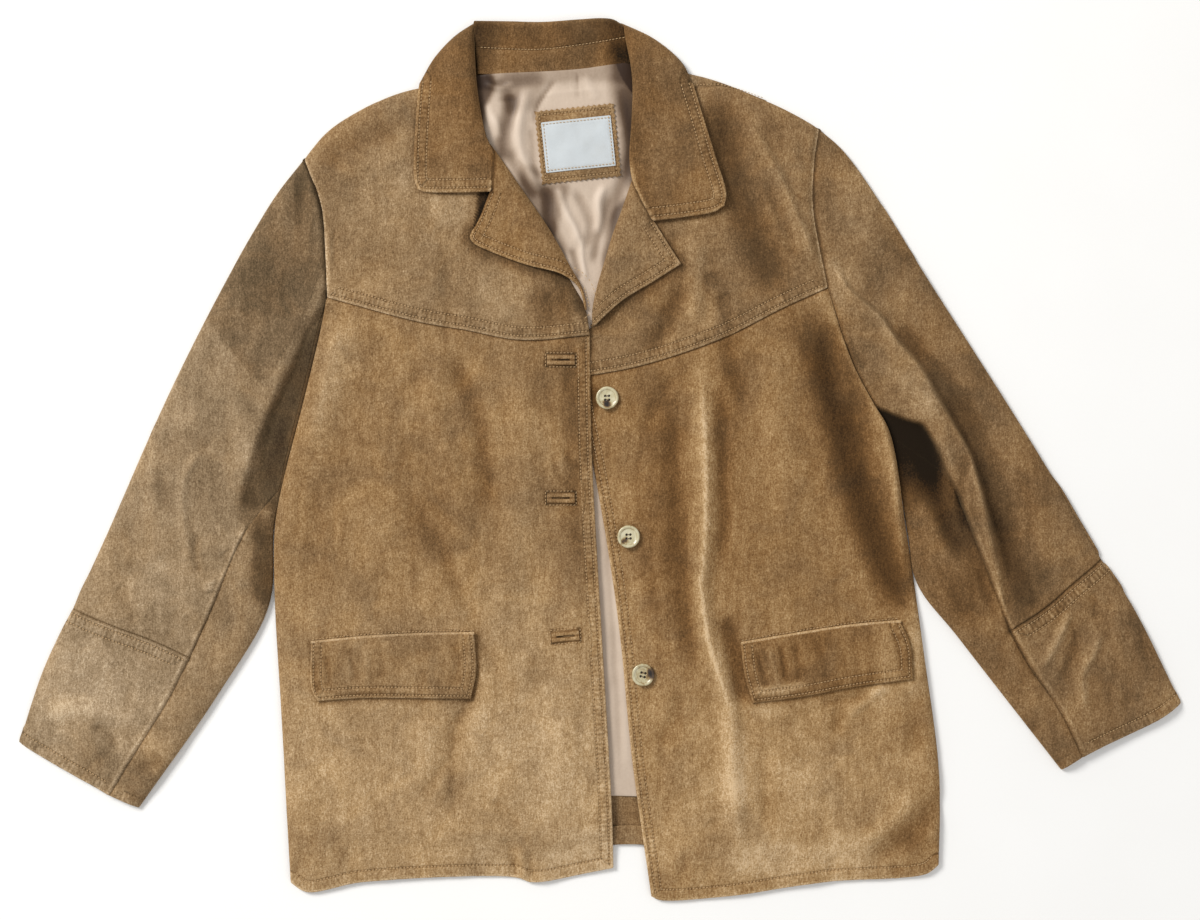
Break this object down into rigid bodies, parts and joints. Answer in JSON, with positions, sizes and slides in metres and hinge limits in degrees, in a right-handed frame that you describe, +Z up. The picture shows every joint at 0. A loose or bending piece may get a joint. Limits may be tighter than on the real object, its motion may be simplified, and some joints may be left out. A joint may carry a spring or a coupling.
{
  "type": "suede coat",
  "caption": "Hip-length suede coat laid flat and unbuttoned, with notched lapels, curved yokes, flap pockets, bound buttonholes and a satin lining.",
  "frame": {"origin": "on the surface that the coat lies on, under the middle of its bounding box", "axes": "+Z up from that surface to the coat's front, +Y towards the collar, +X to the side with the buttons"},
  "size_m": [1.0472, 0.7943, 0.0151],
  "materials": {
    "suede": "napped suede, tan, with lighter brushed patches",
    "satin": "satin weave lining, pinkish beige, soft sheen",
    "label": "white woven label, matt",
    "horn": "pale horn with dark brown marbling, polished"
  },
  "bodies": {
    "root": {"back": "suede", "back_hem": "suede", "lining": "satin", "neck_patch": "suede", "label": "label", "yoke_left": "suede", "yoke_right": "suede", "front_left": "suede", "front_right": "suede", "lapel_left": "suede", "lapel_right": "suede", "collar_leaf_left": "suede", "collar_leaf_right": "suede", "collar_back": "suede", "sleeve_top_left": "suede", "sleeve_top_right": "suede", "sleeve_under_left": "suede", "sleeve_under_right": "suede", "cuff_left": "suede", "cuff_right": "suede", "flap_left": "suede", "flap_right": "suede", "welt_left": "suede", "welt_right": "suede", "buttonhole_1": "suede", "buttonhole_2": "suede", "buttonhole_3": "suede", "button_1": "horn", "button_2": "horn", "button_3": "horn"}
  },
  "joints": []
}
